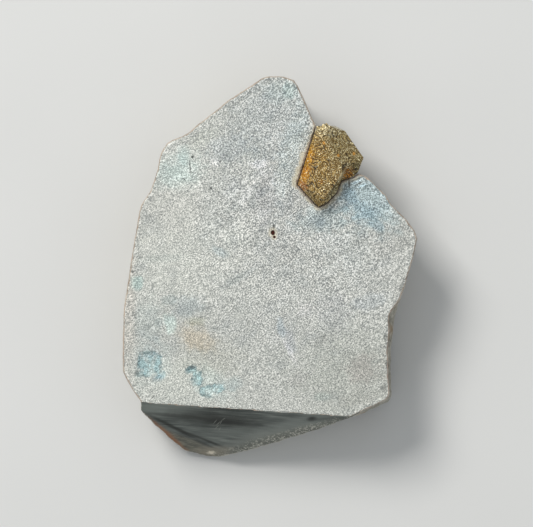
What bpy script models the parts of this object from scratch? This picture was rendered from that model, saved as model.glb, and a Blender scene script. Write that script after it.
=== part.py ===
"""A hand specimen of pyrite in its stone, lying on its back.

Two pieces: a slab of pale, fine-grained marl, and the cluster of pyrite crystals that grew in one
of its edges. The slab's broken sides are hollowed, and step in and out where its beds part.
Sizes are in millimetres, turned into metres where the meshes are made. +X is the specimen's right,
+Y its upper end and +Z the way its face looks. The origin is under the middle, on the resting plane.
"""

import itertools
import math

import bmesh
import bpy
import numpy as np
from mathutils import Matrix, Vector, noise
from mathutils.geometry import delaunay_2d_cdt

MM = 0.001

# The slab, seen from above: its outline, anticlockwise from the notch over the crystal.
OUTLINE = [
    (9.4, 30.2), (8.7, 31.7), (7.2, 35.3), (5.8, 38.2), (5.0, 39.4), (3.0, 40.1), (-0.3, 40.2),
    (-1.7, 39.8), (-3.8, 38.3), (-8.8, 35.1), (-10.7, 33.5), (-13.2, 31.5), (-15.5, 29.8),
    (-17.1, 28.3), (-18.7, 27.5), (-20.8, 26.7), (-21.7, 26.1), (-22.8, 24.4), (-23.3, 22.9),
    (-23.8, 20.4), (-25.1, 16.2), (-27.2, 13.0), (-27.6, 11.4), (-28.9, 3.9), (-30.3, -5.4),
    (-30.8, -9.1), (-31.0, -13.8), (-31.0, -22.2), (-29.1, -25.6), (-27.2, -28.3), (-27.2, -30.4),
    (-24.3, -33.2), (-20.4, -36.9), (-18.4, -38.5), (-16.3, -39.4), (-13.8, -40.1), (-11.2, -40.2),
    (-8.3, -39.6), (-0.9, -37.6), (10.3, -34.2), (19.9, -30.8), (25.1, -28.5), (25.7, -27.3),
    (25.6, -17.5), (26.4, -10.7), (28.1, -4.9), (30.0, 1.4), (31.0, 6.0), (30.3, 7.8), (28.4, 10.4),
    (25.4, 13.3), (24.5, 15.0), (21.2, 18.3), (19.7, 19.3), (18.5, 19.6), (16.6, 22.4), (13.4, 26.0),
    (10.5, 29.0),
]
# The beds from the face down. Together they are the slab's thickness.
BEDS = [3.3, 5.2, 2.3, 5.2]
THICKNESS = sum(BEDS)
BED_STEP = 0.3  # height over which one bed's edge steps to the next
BED_WANDER = 1.3  # how far the bedding strays from level
BED_WANDER_LENGTH = 13.0
LEDGE_DEPTH = 0.9  # how far a bed's broken edge stands back from the outline
LEDGE_LENGTH = 8.5
LEDGE_FROM = 0.45  # of a noise from 0 to 1, above which a bed's edge stands back
LEDGE_STEP = 0.08
# The shell-shaped hollows in the broken sides, with sharp ridges between them: length along the side,
# height and depth.
HOLLOWS = [(6.5, 5.5, 2.4), (2.9, 2.3, 0.96)]
RIM_HELD = 0.8  # height either way from the side's outermost rim that stays on the outline
RIM_EASE = 3.5  # height over which the ledges and hollows then grow to their full depth
FACE_RIM_SHARE = 0.25  # how much of that depth the face's own rim has
RIM_ROUND = 0.35  # how far the face's rim stands inside the outline
# How the sides lean, by bearing in degrees from +X: millimetres that the resting plane's rim stands
# outside the face's rim. Less than nothing is an undercut.
LEANS = [
    (0, -1.0), (45, -1.6), (80, -2.4), (110, -1.4), (140, -3.0), (180, -1.8), (215, -2.2), (234, 0.0),
    (275, 0.0), (305, 0.3), (318, 0.9), (338, 0.8), (352, -0.4),
]
# How far up a side is widest, as a share of the thickness, for two leans. It slides between them.
WIDEST = [(-0.5, 1.0), (0.25, 0.25)]
STATION = 1.8  # spacing of the vertices round the slab
RING_SPACING = 1.6  # and down its sides
FACE_SPACING = 2.3
BACK_SPACING = 3.4
FACE_WAVES = [(17.0, 0.22), (7.0, 0.11)]  # the face's long, low waves: length and depth
FACE_EDGE = 2.0  # width of the strip along the face's rim where its relief fades
# Flake scars in the face: x, y, half width, half height, depth.
SCARS = [
    (-25.0, -21.2, 2.7, 3.2, 0.30), (-13.4, -24.2, 2.8, 2.2, 0.25), (-21.5, 18.6, 4.5, 2.6, 0.18),
    (19.5, 12.0, 5.5, 4.0, 0.16), (-19.5, -5.5, 3.2, 2.0, 0.16),
]
# Pits where a grain has weathered out: x, y, half width, half height, depth.
PITS = [(0.6, 7.2, 0.42, 0.50, 1.0), (0.9, 6.3, 0.24, 0.26, 0.7)]
# The break across the lower corner: three points on each of its two planes.
BREAKS = [
    [(-27.2, -28.3, THICKNESS), (16.9, -31.3, THICKNESS), (-11.2, -40.2, 2.5)],
    [(-24.8, -32.3, 11.1), (-10.6, -38.3, 4.9), (-20.2, -36.8, 4.7)],
]
# Where the back slopes up to the sides: bearing, slope in degrees, distance out at which it starts.
BACK_SLOPES = [
    (100, 7.0, 12.0), (145, 14.0, 18.0), (198, 9.0, 20.0), (325, 12.0, 22.0), (15, 9.0, 19.0),
]
BREAK_WAVES = [(4.0, 0.35)]  # the low waves on a broken plane or the back's slopes: length and depth
BREAK_EDGE = 5.0  # width of the strip along such a plane's rim where they fade

# The crystals. Each face is its bearing from +X, its lean from straight up, both in degrees, and its
# reach from the middle. The level top meets the faces at its right and lower left at about 30
# degrees, near the 26.6 degrees between a cube face and a pyritohedron face of pyrite.
CRYSTAL_MIDDLE = (11.0, 21.0, 13.0)
KNOB_MIDDLE = (11.7, 28.6, 15.6)
BLOCK = [
    (215, 4, 6.35), (35, 25, 7.50), (105, 38, 8.99), (171, 52, 5.89), (215, 60, 7.60), (240, 35, 8.27),
    (-40, 48, 7.48), (162, 90, 3.83), (222, 90, 6.33), (-67, 90, 7.36), (-43.4, 90, 5.85),
    (-21.8, 90, 4.73), (0, 90, 4.1), (90, 90, 8.65), (64, 90, 8.92), (0, 180, 6.2), (60, 126, 8.2),
    (-35, 130, 7.2), (190, 132, 6.6),
]
SIDE_BLOCK = [
    (215, 4, 6.2), (105, 38, 8.9), (35, 25, 7.42), (-60, 40, 5.84), (64, 90, 8.90), (35, 90, 8.22),
    (90, 90, 8.62), (-21.5, 90, 7.35), (-45.5, 90, 6.05), (-72, 90, 3.98), (180, 90, 1.0),
    (0, 180, 4.4), (35, 128, 7.9), (-25, 132, 6.9), (95, 124, 7.6),
]
KNOB = [
    (95, 10, 2.72), (100, 90, 1.55), (42, 90, 1.25), (150, 90, 1.30), (0, 90, 1.15), (270, 90, 2.0),
    (185, 90, 1.35), (0, 180, 3.2), (95, 140, 3.0),
]
SOCKET_GAP = 0.3

SEED_ALONG = 11.3
SEED_FACE = 47.1
SEED_BREAK = 83.7
SEED_HOLLOWS = 31.9
SEEDS_SCATTER = [5.9, 21.3]

# Working tolerances, and how scattered points are laid out.
WELD = 1e-4
PLACE_DIGITS = 5  # decimals of a millimetre to which two builds agree
BARELY_OUTSIDE = 1e-7
NEARLY_PARALLEL = 1e-6
ROW_SPACING = math.sin(math.radians(60))  # of a triangular grid, as a share of its spacing
SCATTER_SHIFT = 0.42
SCATTER_CLEAR = 0.55  # of the spacing, kept free along the rim


def clear_scene():
    for obj in list(bpy.data.objects):
        bpy.data.objects.remove(obj)


def surface(name, colour, roughness, metallic):
    """A plain material of one colour."""
    made = bpy.data.materials.new(name)
    made.use_nodes = True
    shader = made.node_tree.nodes["Principled BSDF"]
    shader.inputs["Base Color"].default_value = (*colour, 1)
    shader.inputs["Roughness"].default_value = roughness
    shader.inputs["Metallic"].default_value = metallic
    return made


def solid(name, bm, look):
    """An object from a bmesh whose sizes are in millimetres."""
    bmesh.ops.recalc_face_normals(bm, faces=bm.faces)
    bmesh.ops.transform(bm, matrix=Matrix.Scale(MM, 4), verts=bm.verts)
    mesh = bpy.data.meshes.new(name)
    bm.to_mesh(mesh)
    bm.free()
    mesh.materials.append(look)
    obj = bpy.data.objects.new(name, mesh)
    bpy.context.scene.collection.objects.link(obj)
    return obj


def boolean(obj, other, operation):
    """Cuts or joins obj with a helper, which isn't a piece itself."""
    other.hide_render = True
    other.display_type = "WIRE"
    step = obj.modifiers.new(f"{operation.title()} {other.name}", "BOOLEAN")
    step.operation = operation
    step.solver = "EXACT"
    step.object = other


def held(share):
    """The share, kept between 0 and 1."""
    return min(1.0, max(0.0, share))


def wave(x, y, seed):
    """Smooth noise from 0 to 1."""
    return 0.5 + 0.5 * noise.noise(Vector((x, y, seed)))


def waves_below(x, y, waves, seed):
    """How far low waves, each a length and a depth, take a plane's surface down here."""
    return sum(depth * (1 - wave(x / length, y / length, seed)) for length, depth in waves)


def lean_at(bearing):
    """The sides' lean at a bearing in degrees, eased between the bearings that LEANS gives."""
    table = [*LEANS, (LEANS[0][0] + 360, LEANS[0][1])]
    for (low, first), (high, second) in itertools.pairwise(table):
        if low <= bearing % 360 <= high:
            share = (bearing % 360 - low) / (high - low)
            return first + (second - first) * (1 - math.cos(math.pi * share)) / 2
    raise ValueError(f"no lean for bearing {bearing}")


def stations():
    """The outline's points, with more between them, and how far round each one is."""
    made = []
    along = 0.0
    for (sx, sy), (ex, ey) in zip(OUTLINE, OUTLINE[1:] + OUTLINE[:1]):
        start = Vector((sx, sy))
        end = Vector((ex, ey))
        length = (end - start).length
        count = max(1, round(length / STATION))
        for step in range(count):
            made.append((start.lerp(end, step / count), along + length * step / count))
        along += length
    return made


def ring_heights():
    """(height, bed) of each ring of vertices, from the face down."""
    made = [(THICKNESS, 0)]
    top = THICKNESS
    for bed, depth in enumerate(BEDS):
        first = top - (RIM_ROUND if bed == 0 else BED_STEP / 2)
        last = top - depth + (BED_STEP / 2 if bed < len(BEDS) - 1 else 0)
        for height in np.linspace(first, last, max(2, round((first - last) / RING_SPACING) + 1)):
            made.append((float(height), bed))
        top -= depth
    return made


def plane_of(corners):
    """A point on the plane through three corners, and its normal, which points up."""
    first, second, third = (Vector(corner) for corner in corners)
    normal = (second - first).cross(third - first).normalized()
    return first, normal if normal.z > 0 else -normal


def rim_height(point, lean):
    """Height of the side's outermost rim: where a break cuts it, or else where its lean puts it."""
    cuts = [THICKNESS]
    for start, normal in map(plane_of, BREAKS):
        cuts.append(start.z - normal.xy.dot(point - start.xy) / normal.z)
    if min(cuts) < THICKNESS:
        return max(0.0, min(cuts))
    return THICKNESS * float(np.interp(lean, *zip(*WIDEST)))


def broken(along, height, bed, rim):
    """How far the broken side stands back here. Its outermost rim stays on the outline."""
    turn = wave(along / LEDGE_LENGTH, bed * math.pi, SEED_ALONG)
    depth = LEDGE_DEPTH * held((turn - LEDGE_FROM) / LEDGE_STEP)
    for length, tall, deep in HOLLOWS:
        depth += deep * abs(noise.noise(Vector((along / length, height / tall, SEED_HOLLOWS + tall))))
    off_rim = held((abs(height - rim) - RIM_HELD) / RIM_EASE)
    off_face = held(FACE_RIM_SHARE + (THICKNESS - height) / RIM_EASE)
    return depth * off_rim * off_face


def side_point(point, along, height, bed):
    """Where a station's point is on the ring at this height."""
    lean = lean_at(math.degrees(math.atan2(point.y, point.x)))
    share = height / THICKNESS
    inset = max(lean, 0) * share + max(-lean, 0) * (1 - share)
    inset += broken(along, height, bed, rim_height(point, lean))
    if height == THICKNESS:
        inset += RIM_ROUND
    turn = noise.noise(Vector((along / BED_WANDER_LENGTH, 0, SEED_ALONG)))
    strays = BED_WANDER * math.sin(math.pi * share) * turn
    inwards = -point.normalized() * inset
    return Vector((point.x + inwards.x, point.y + inwards.y, height + strays))


def inside(point, rim):
    """Whether a flat point is inside a closed flat outline."""
    odd = False
    for (ax, ay), (bx, by) in zip(rim, rim[1:] + rim[:1]):
        if (ay > point.y) != (by > point.y) and point.x < (bx - ax) * (point.y - ay) / (by - ay) + ax:
            odd = not odd
    return odd


def scattered(rim, spacing):
    """Points at about this spacing inside a flat outline, on a loose triangular grid."""
    xs = [p.x for p in rim]
    ys = [p.y for p in rim]
    rows = int((max(ys) - min(ys)) / (spacing * ROW_SPACING)) + 1
    columns = int((max(xs) - min(xs)) / spacing) + 2
    made = []
    for row, column in itertools.product(range(rows), range(columns)):
        x = min(xs) + spacing * (column + 0.5 * (row % 2))
        y = min(ys) + spacing * ROW_SPACING * row
        shift = [noise.noise(Vector((x, y, seed))) for seed in SEEDS_SCATTER]
        point = Vector((x, y)) + Vector(shift) * spacing * SCATTER_SHIFT
        clear = all((point - p).length > spacing * SCATTER_CLEAR for p in rim)
        if clear and inside(point, rim):
            made.append(point)
    return made


def fill_flat(bm, rim, normal, spacing):
    """Closes a flat ring of vertices with triangles on scattered points.

    Returns the scattered points' vertices, each with its distance from the rim.
    """
    across = normal.orthogonal().normalized()
    up = normal.cross(across)
    level = normal.dot(rim[0].co)
    flat = [Vector((across.dot(v.co), up.dot(v.co))) for v in rim]
    inner = scattered(flat, spacing)
    edges = [(i, (i + 1) % len(rim)) for i in range(len(rim))]
    points, _, faces, origins, _, _ = delaunay_2d_cdt(flat + inner, edges, [], 1, WELD / 100)
    verts = []
    for point, origin in zip(points, origins):
        known = [i for i in origin if i < len(rim)]
        if known:
            verts.append(rim[known[0]])
        else:
            verts.append(bm.verts.new(across * point.x + up * point.y + normal * level))
    for face in faces:
        bm.faces.new([verts[i] for i in face])
    free = [v for v, origin in zip(verts, origins) if all(i >= len(rim) for i in origin)]
    return [(v, min((v.co - r.co).length for r in rim)) for v in free]


def open_rims(bm):
    """The chains of vertices, each in order, round the mesh's openings."""
    edges = [e for e in bm.edges if e.is_boundary]
    left = set(edges)
    rims = []
    for first in edges:
        if first not in left:
            continue
        left.discard(first)
        start, at = first.verts
        rim = [start]
        while at is not start:
            rim.append(at)
            step = next(e for e in at.link_edges if e in left)
            left.discard(step)
            at = step.other_vert(at)
        rims.append(rim)
    return rims


def face_relief(x, y):
    """How far the face is below its plane: low waves and the flake scars."""
    below = waves_below(x, y, FACE_WAVES, SEED_FACE)
    for sx, sy, width, tall, depth in SCARS:
        away = math.hypot((x - sx) / width, (y - sy) / tall)
        below += depth * held(1 - away**4)
    return below


def in_order(bm):
    """The same mesh, its vertices and faces in an order that depends on nothing but their places."""
    places = {vert: tuple(round(value, PLACE_DIGITS) for value in vert.co) for vert in bm.verts}
    corners = sorted(set(places.values()))
    numbers = {place: i for i, place in enumerate(corners)}
    loops = []
    for face in bm.faces:
        loop = [numbers[places[vert]] for vert in face.verts]
        first = loop.index(min(loop))
        loops.append(loop[first:] + loop[:first])
    bm.free()
    made = bmesh.new()
    verts = [made.verts.new(corner) for corner in corners]
    for loop in sorted(loops):
        made.faces.new([verts[i] for i in loop])
    return made


def cut_flat(bm, point, normal, spacing):
    """What is left of a mesh inside a plane, with the cut closed by a faintly wavy face."""
    everything = [*bm.verts, *bm.edges, *bm.faces]
    bmesh.ops.bisect_plane(
        bm, geom=everything, dist=WELD, plane_co=point, plane_no=normal, clear_outer=True
    )
    bm = in_order(bm)
    for rim in open_rims(bm):
        for vert, away in fill_flat(bm, rim, normal, spacing):
            below = waves_below(vert.co.x, vert.co.y, BREAK_WAVES, SEED_BREAK)
            vert.co -= normal * below * held(away / BREAK_EDGE)
    return bm


def slab_body():
    """The slab before the crystals' socket: rings of vertices down its sides, closed above and below."""
    bm = bmesh.new()
    places = stations()
    rings = [
        [bm.verts.new(side_point(point, along, height, bed)) for point, along in places]
        for height, bed in ring_heights()
    ]
    for upper, lower in itertools.pairwise(rings):
        for i in range(len(places)):
            after = (i + 1) % len(places)
            bm.faces.new((upper[i], lower[i], lower[after], upper[after]))
    for vert, away in fill_flat(bm, rings[0], Vector((0, 0, 1)), FACE_SPACING):
        vert.co.z -= face_relief(vert.co.x, vert.co.y) * held(away / FACE_EDGE)
    fill_flat(bm, rings[-1], Vector((0, 0, -1)), BACK_SPACING)
    bmesh.ops.recalc_face_normals(bm, faces=bm.faces)
    for start, normal in map(plane_of, BREAKS):
        bm = cut_flat(bm, start, normal, FACE_SPACING)
    for bearing, slope, start in BACK_SLOPES:
        turned = math.radians(bearing)
        sloped = math.radians(slope)
        out = Vector((math.cos(turned), math.sin(turned), 0))
        normal = out * math.sin(sloped) - Vector((0, 0, math.cos(sloped)))
        bm = cut_flat(bm, out * start, normal, BACK_SPACING)
    bmesh.ops.recalc_face_normals(bm, faces=bm.faces)
    bmesh.ops.triangulate(bm, faces=bm.faces)
    return bm


def flat_faced(faces, middle, grow):
    """The convex solid that these faces bound, each moved out by grow."""
    turned = np.radians([bearing for bearing, _, _ in faces])
    leaning = np.radians([lean for _, lean, _ in faces])
    normals = np.stack(
        [np.sin(leaning) * np.cos(turned), np.sin(leaning) * np.sin(turned), np.cos(leaning)], axis=1
    )
    reach = np.array([reach for _, _, reach in faces]) + grow
    bm = bmesh.new()
    for three in itertools.combinations(range(len(faces)), 3):
        chosen = list(three)
        if abs(np.linalg.det(normals[chosen])) < NEARLY_PARALLEL:
            continue
        corner = np.linalg.solve(normals[chosen], reach[chosen])
        if (normals @ corner <= reach + BARELY_OUTSIDE).all():
            bm.verts.new(Vector(corner) + Vector(middle))
    bmesh.ops.remove_doubles(bm, verts=bm.verts, dist=WELD)
    bmesh.ops.convex_hull(bm, input=bm.verts)
    bmesh.ops.dissolve_limit(bm, angle_limit=math.radians(0.1), verts=bm.verts, edges=bm.edges)
    return bm


def cluster(name, look, grow):
    """The intergrown crystals as one solid, each face moved out by grow."""
    made = solid(name, flat_faced(BLOCK, CRYSTAL_MIDDLE, grow), look)
    boolean(made, solid(f"{name}_side_block", flat_faced(SIDE_BLOCK, CRYSTAL_MIDDLE, grow), look), "UNION")
    boolean(made, solid(f"{name}_knob", flat_faced(KNOB, KNOB_MIDDLE, grow), look), "UNION")
    return made


def pit_cutter(name, look, pit):
    """A small egg that sinks a pit in the face."""
    x, y, width, tall, depth = pit
    bm = bmesh.new()
    bmesh.ops.create_icosphere(bm, subdivisions=2, radius=1.0)
    size = Matrix.Diagonal((width, tall, depth, 1))
    bmesh.ops.transform(bm, matrix=Matrix.Translation((x, y, THICKNESS)) @ size, verts=bm.verts)
    return solid(name, bm, look)


def main():
    clear_scene()
    marl = surface("pale_marl", (0.49, 0.51, 0.47), 0.9, 0.0)
    brassy = surface("brassy_pyrite", (0.36, 0.25, 0.10), 0.42, 1.0)
    slab = solid("stone_matrix", slab_body(), marl)
    cluster("pyrite_crystal", brassy, 0.0)
    boolean(slab, cluster("socket", marl, SOCKET_GAP), "DIFFERENCE")
    for i, pit in enumerate(PITS):
        boolean(slab, pit_cutter(f"pit_{i + 1}", marl, pit), "DIFFERENCE")


main()
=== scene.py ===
# %% [markdown]
# # Pyrite in its stone
#
# The specimen is a flat slab of pale marl with a cluster of bronze-coloured pyrite set in one edge.
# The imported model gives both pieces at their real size, with plain flat faces. This script gives
# them their surfaces: first real relief in fine meshes, then colour and gloss from shader nodes.
# The specimen lies on its back, so +Z is the way its face looks and +Y is its upper end.

import math

import bmesh
import bpy
import numpy as np
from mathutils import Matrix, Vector, noise
from mathutils.bvhtree import BVHTree


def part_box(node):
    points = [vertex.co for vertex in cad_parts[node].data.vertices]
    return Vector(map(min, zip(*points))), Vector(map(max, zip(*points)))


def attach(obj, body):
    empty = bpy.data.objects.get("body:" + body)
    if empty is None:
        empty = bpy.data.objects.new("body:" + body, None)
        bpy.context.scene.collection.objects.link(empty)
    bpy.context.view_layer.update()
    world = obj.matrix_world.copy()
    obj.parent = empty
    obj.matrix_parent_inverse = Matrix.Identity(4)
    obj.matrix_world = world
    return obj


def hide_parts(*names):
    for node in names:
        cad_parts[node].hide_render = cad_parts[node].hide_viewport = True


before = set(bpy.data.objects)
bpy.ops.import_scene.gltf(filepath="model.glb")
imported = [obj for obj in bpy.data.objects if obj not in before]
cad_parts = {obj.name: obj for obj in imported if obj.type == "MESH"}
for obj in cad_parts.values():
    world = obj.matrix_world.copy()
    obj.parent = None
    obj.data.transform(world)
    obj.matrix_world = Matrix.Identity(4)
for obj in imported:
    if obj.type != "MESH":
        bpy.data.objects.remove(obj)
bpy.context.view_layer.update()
scene = bpy.context.scene
MM = 0.001
print("pieces:", sorted(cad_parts))

# %% [markdown]
# ## Fine meshes
#
# Marl breaks into a surface of small hollows and grains, and pyrite that grew in mud is rough all
# over. A bump map alone would leave the outline and the shadows smooth, so all but the finest relief
# is real. A voxel remesh turns each solid into small, even faces. That rounds its edges a little, so
# each new point is then put back on the solid's nearest surface.

# %% Fine copies of the solids
VOXEL = {"stone_matrix": 0.36, "pyrite_crystal": 0.118}
WELD = 0.001


def surface_of(source):
    """A search tree of a solid's faces, in millimetres."""
    points = [vert.co / MM for vert in source.data.vertices]
    return BVHTree.FromPolygons(points, [face.vertices[:] for face in source.data.polygons])


def fine_copy(source, voxel):
    """A new object of the solid's shape, in even faces about voxel millimetres across."""
    bm = bmesh.new()
    bm.from_mesh(source.data)
    bmesh.ops.remove_doubles(bm, verts=bm.verts, dist=WELD * MM)
    mesh = bpy.data.meshes.new(f"{source.name}_fine")
    bm.to_mesh(mesh)
    bm.free()
    made = bpy.data.objects.new(f"{source.name}_surface", mesh)
    scene.collection.objects.link(made)
    remesh = made.modifiers.new("Even faces", "REMESH")
    remesh.mode = "VOXEL"
    remesh.voxel_size = voxel * MM
    evaluated = made.evaluated_get(bpy.context.evaluated_depsgraph_get())
    made.data = bpy.data.meshes.new_from_object(evaluated)
    made.modifiers.clear()
    tree = surface_of(source)
    for vert in made.data.vertices:
        vert.co = tree.find_nearest(vert.co / MM)[0] * MM
    print(made.name, len(made.data.polygons), "faces")
    return made


stone = fine_copy(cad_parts["stone_matrix"], VOXEL["stone_matrix"])
crystal = fine_copy(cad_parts["pyrite_crystal"], VOXEL["pyrite_crystal"])

# %% [markdown]
# The relief is worked out for all points at once in numpy. These helpers read a mesh's points and
# normals, spread a value to its neighbours, and sample smooth noise of a given size.

# %% Helpers for reading and shaping a mesh
NORMAL_ROUNDS = 2
RIDGE_ROUNDS = 8


def points_of(obj):
    """The points in millimetres, one row each."""
    flat = np.empty(len(obj.data.vertices) * 3)
    obj.data.vertices.foreach_get("co", flat)
    return flat.reshape(-1, 3) / MM


def normals_of(obj):
    """Which way the surface faces at each point."""
    flat = np.empty(len(obj.data.vertices) * 3)
    obj.data.vertices.foreach_get("normal", flat)
    return flat.reshape(-1, 3)


def edges_of(obj):
    """The numbers of the two points of each edge."""
    flat = np.empty(len(obj.data.edges) * 2, dtype=np.int32)
    obj.data.edges.foreach_get("vertices", flat)
    return flat.reshape(-1, 2)


def spread(values, edges, rounds):
    """The values, averaged with those of their neighbours a number of times."""
    values = np.array(values, dtype=float)
    count = np.bincount(edges.ravel(), minlength=len(values))
    for _ in range(rounds):
        total = np.zeros_like(values)
        np.add.at(total, edges[:, 0], values[edges[:, 1]])
        np.add.at(total, edges[:, 1], values[edges[:, 0]])
        share = count if values.ndim == 1 else count[:, None]
        values = (values + total / share) / 2
    return values


def step(values, low, high):
    """0 below low, 1 above high, and a smooth rise between them."""
    share = np.clip((values - low) / (high - low), 0, 1)
    return share * share * (3 - 2 * share)


def noise_at(points, size, seed):
    """Smooth noise from about -1 to 1, with lumps about size millimetres across."""
    shifted = points / size + seed
    return np.array([noise.noise(Vector(p)) for p in shifted])


def layers_at(points, layers, hollow=False):
    """Layers of noise, each a strength, a lump size and a seed, added up. Hollow ones lose their sign."""
    total = 0.0
    for strength, size, seed in layers:
        layer = noise_at(points, size, seed)
        total = total + strength * (np.abs(layer) if hollow else layer)
    return total


def soft_normals(obj, edges):
    """Which way the surface faces at each point, averaged with its neighbours."""
    rows = spread(normals_of(obj), edges, NORMAL_ROUNDS)
    return rows / np.linalg.norm(rows, axis=1, keepdims=True)


def ridges_of(points, edges, normals):
    """How far each point stands out from its surroundings, in millimetres. It is below 0 in a crease."""
    return np.einsum("ij,ij->i", points - spread(points, edges, RIDGE_ROUNDS), normals)


def move(obj, points):
    """Puts the object's points where the rows say, in millimetres."""
    obj.data.vertices.foreach_set("co", (points * MM).ravel())
    obj.data.update()


def keep_mask(obj, name, values):
    """Stores one value for each point, where the materials can read it."""
    attribute = obj.data.attributes.new(name, "FLOAT", "POINT")
    attribute.data.foreach_set("value", values.astype(np.float32))


# %% [markdown]
# ## The stone's relief
#
# The slab has three kinds of surface. Its face is a bedding plane with fine, even grain. At the
# lower end it broke along a slanting joint, which is smooth and faintly streaked. Its sides and back
# are rough breaks with sharp little ridges. Masks for the three come from where a point is and which
# way the solid faces there. A pair of numbers is the range over which a mask rises, or falls, smoothly.

# %% Which part of the stone is which
FACE_UP = (0.80, 0.95)  # the upward share of the face's normals
FACE_HIGH = (14.6, 15.2)
JOINT_UP = (0.25, 0.42)  # the joint is less upright than the sides
JOINT_UP_END = (0.84, 0.95)  # and less level than the face
JOINT_SOUTH = (0.35, 0.55)  # the share of its normals that points to the lower end
JOINT_FROM = (27.0, 28.0)  # distance from the middle towards the lower end
JOINT_REACH = (0.7, 1.2)  # distance from its planes
JOINT_PLANES = [  # three points on each of the two planes it broke along
    [(-27.2, -28.3, 16.0), (16.9, -31.3, 16.0), (-11.2, -40.2, 2.5)],
    [(-24.8, -32.3, 11.1), (-10.6, -38.3, 4.9), (-20.2, -36.8, 4.7)],
]
CORNER_CREASE = ((-24.8, -32.3), (-10.6, -38.3))  # a small second facet lies outside this line


def off_plane(points, plane):
    """How far the points are from the plane through its three points."""
    first, second, third = (np.array(corner) for corner in plane)
    across = np.cross(second - first, third - first)
    return np.abs((points - first) @ across) / np.linalg.norm(across)


stone_at = points_of(stone)
stone_edges = edges_of(stone)
stone_normal = soft_normals(stone, stone_edges)
stone_ridge = ridges_of(stone_at, stone_edges, stone_normal)
upward = stone_normal[:, 2]
on_face = step(upward, *FACE_UP) * step(stone_at[:, 2], *FACE_HIGH)
sloping = step(upward, *JOINT_UP) * (1 - step(upward, *JOINT_UP_END))
southward = step(-stone_normal[:, 1], *JOINT_SOUTH) * step(-stone_at[:, 1], *JOINT_FROM)
off_joint = np.min([off_plane(stone_at, plane) for plane in JOINT_PLANES], axis=0)
on_joint = sloping * southward * (1 - on_face) * (1 - step(off_joint, *JOINT_REACH))
on_break = np.clip(1 - on_face - on_joint, 0, 1)
crease_start, crease_end = (np.array(point) for point in CORNER_CREASE)
crease_way = (crease_end - crease_start) / np.linalg.norm(crease_end - crease_start)
past_crease = (stone_at[:, :2] - crease_start) @ np.array([crease_way[1], -crease_way[0]])
print("face, joint, break points:", *(int(m.sum()) for m in (on_face, on_joint, on_break)))

# %% [markdown]
# The solids leave a gap of 0.3 mm round the crystals, so that they never touch. In the real piece
# the marl grew tight against them. Points of the socket's wall and rim are drawn towards the
# crystals until only a hairline is left.

# %% Close the socket round the crystals
GAP = 0.3
HAIRLINE = 0.05
PULL_FADES = (GAP + 0.05, 3 * GAP)
SEARCHED = 12.0  # how far away the crystals are looked for

crystal_tree = surface_of(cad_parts["pyrite_crystal"])
found = [crystal_tree.find_nearest(Vector(p), SEARCHED) for p in stone_at]
to_crystal = np.array([SEARCHED if place is None else away for place, _, _, away in found])
nearest = np.array([p if hit[0] is None else tuple(hit[0]) for p, hit in zip(stone_at, found)])
pull = np.clip(to_crystal - HAIRLINE, 0, GAP - HAIRLINE) * (1 - step(to_crystal, *PULL_FADES))
stone_at = stone_at + (nearest - stone_at) * (pull / np.maximum(to_crystal, HAIRLINE))[:, None]
print("points drawn in:", np.count_nonzero(pull))

# %% [markdown]
# The blue patches are shallow flakes: a skin of the stone has come off, and their rims throw a fine
# shadow. One mask carves them and colours them, so the colour ends exactly at the rim.
#
# Noise is 0 along winding lines, so its size without its sign makes hollows that meet in sharp
# ridges. That is the look of a hackly break. The same noise with its sign makes soft grain. Each
# layer of noise below is a strength, a lump size and a seed.

# %% The stone's layers of relief
GRAIN = [(0.045, 0.7, 3.1), (0.04, 1.5, 8.7)]
SWELL = [(0.10, 6.0, 5.5)]
HOLLOWS = [(0.45, 3.4, 14.2), (0.22, 1.3, 21.6)]
HOLLOW_MIDDLE = 0.15
STREAKS = [(0.05, 0.9, 33.0)]
STREAK_SQUEEZE = (0.12, 1.0, 1.0)  # X is squeezed before the noise is read, so streaks run along it
JOINT_SWELL = [(0.08, 5.0, 2.0)]
JOINT_GRAIN = 0.4  # the share of the grain that the joint has
FACE_SUNK = 0.06  # how far each surface is set back, so that its relief stays within the solid
JOINT_SUNK = 0.04
BREAK_SUNK = -0.12
CHIPS = [(1.0, 1.5, 41.0)]
CHIP_NOISE = (0.1, 0.5)
CHIP_RIDGE = (0.05, 0.25)  # chips come off edges that stand out this far
CHIP_DEPTH = 0.28
NEAR_RIM = (14.2, 15.4)  # heights over which the sides and the chips calm down below the face's rim
RIM_CALM = 0.7
CHIP_CALM = 0.6
FOOT = (0.02, 0.35)  # heights over which relief begins above the resting plane
FLAKE_RAGGED = [(0.22, 1.6, 61.0), (0.26, 0.6, 67.0)]
FLAKE_RIM = (0.88, 1.12)
FLAKES = [
    # x, y, half width, half height, depth
    (-25.3, -20.3, 2.5, 2.5, 0.14), (-16.4, -21.6, 1.1, 0.8, 0.16), (-15.2, -23.6, 1.2, 1.5, 0.10),
    (-13.3, -26.0, 1.4, 1.1, 0.12), (-11.0, -25.4, 1.4, 1.0, 0.08), (-23.0, -22.6, 1.0, 0.9, 0.12),
]

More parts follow.
